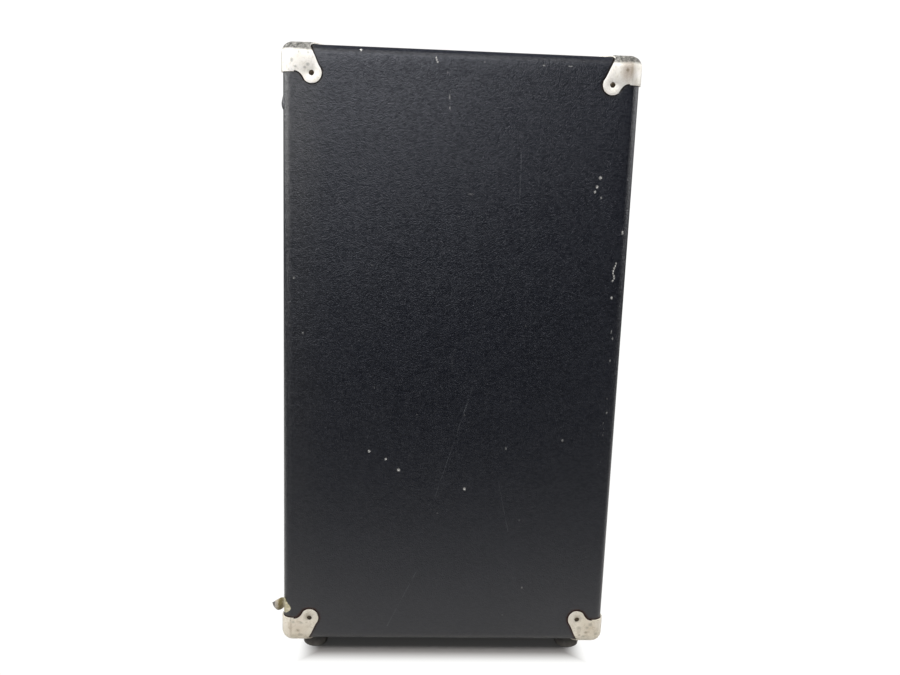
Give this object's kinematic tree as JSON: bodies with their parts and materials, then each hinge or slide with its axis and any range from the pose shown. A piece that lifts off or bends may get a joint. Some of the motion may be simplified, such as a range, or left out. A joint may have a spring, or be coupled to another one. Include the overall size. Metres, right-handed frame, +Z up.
{
  "type": "bass speaker cabinet",
  "caption": "Tall black vinyl-covered bass speaker cabinet with metal corner protectors, rubber feet, cloth grille, rear jack dish and folding top handle.",
  "frame": {"origin": "on the floor, at the middle of the cabinet's footprint", "axes": "+Z up, -Y the grille side (front), +Y the back panel, +X the side that the picture shows"},
  "size_m": [0.6142, 0.4102, 0.7451],
  "materials": {
    "ply": "bare birch ply, back panel covered in black vinyl",
    "black_vinyl": "pebbled black vinyl, satin, scuffed",
    "nickel": "nickel plate, tarnished and worn",
    "rubber": "matte moulded rubber",
    "steel": "zinc and nickel plate",
    "black_metal": "black powder coat",
    "cone_paper": "black pressed paper",
    "treated_cloth": "doped cloth",
    "grille_cloth": "coarse black woven cloth with a grey fleck",
    "black_plastic": "moulded, fine texture",
    "copper": "enamelled copper wire",
    "iron": "plated iron",
    "ferrite": "raw ferrite",
    "wadding": "polyester wadding",
    "circuit_board": "lacquered board",
    "wire": "insulated wire"
  },
  "bodies": {
    "cabinet": {"back_panel": "ply", "baffle_board": "ply", "bottom_panel": "ply", "corner_front_left_bottom": "nickel", "corner_front_left_top": "nickel", "corner_front_right_bottom": "nickel", "corner_front_right_top": "nickel", "corner_rear_left_bottom": "nickel", "corner_rear_left_top": "nickel", "corner_rear_right_bottom": "nickel", "corner_rear_right_top": "nickel", "cross_brace": "ply", "crossover_board": "circuit_board", "crossover_capacitor": "black_plastic", "crossover_coil": "copper", "damping_wadding": "wadding", "foot_screw_front_left": "steel", "foot_screw_front_right": "steel", "foot_screw_rear_left": "steel", "foot_screw_rear_right": "steel", "handle_dish": "black_metal", "horn_driver": "black_metal", "horn_flare": "black_plastic", "jack_dish": "black_metal", "jack_input": "steel", "jack_link": "steel", "level_pot": "iron", "port_tube_left": "black_plastic", "port_tube_right": "black_plastic", "rear_cleat_bottom": "ply", "rear_cleat_left": "ply", "rear_cleat_right": "ply", "rear_cleat_top": "ply", "rubber_foot_front_left": "rubber", "rubber_foot_front_right": "rubber", "rubber_foot_rear_left": "rubber", "rubber_foot_rear_right": "rubber", "side_panel_left": "ply", "side_panel_right": "ply", "top_panel": "ply", "vinyl_covering": "black_vinyl", "wire_crossover_to_horn": "wire", "wire_crossover_to_woofer": "wire", "wire_jacks_to_crossover": "wire", "woofer_basket": "black_metal", "woofer_magnet": "ferrite", "woofer_pole_piece": "iron"},
    "cone_assembly": {"cone": "cone_paper", "dust_cap": "cone_paper", "voice_coil": "copper", "surround": "treated_cloth", "spider": "treated_cloth"},
    "grille": {"grille_frame": "ply", "grille_cloth": "grille_cloth"},
    "knob": {"level_knob": "black_plastic"},
    "handle": {"handle_bail": "steel", "handle_grip": "rubber"}
  },
  "joints": [
    {"name": "cone_stroke", "type": "slide", "parent": "cabinet", "child": "cone_assembly", "axis": [0, -1, 0], "range_m": [-0.006, 0.006], "stiffness_N_per_m": 4000, "deforming": ["surround", "spider"]},
    {"name": "grille_pull", "type": "slide", "parent": "cabinet", "child": "grille", "axis": [0, -1, 0], "range_m": [0, 0.06]},
    {"name": "level_turn", "type": "hinge", "parent": "cabinet", "child": "knob", "pos_m": [0.032, 0.1703, 0.17], "axis": [0, 1, 0], "range_deg": [-150, 150]},
    {"name": "handle_lift", "type": "hinge", "parent": "cabinet", "child": "handle", "pos_m": [0, -0.031, 0.7353], "axis": [1, 0, 0], "range_deg": [0, 90]}
  ]
}
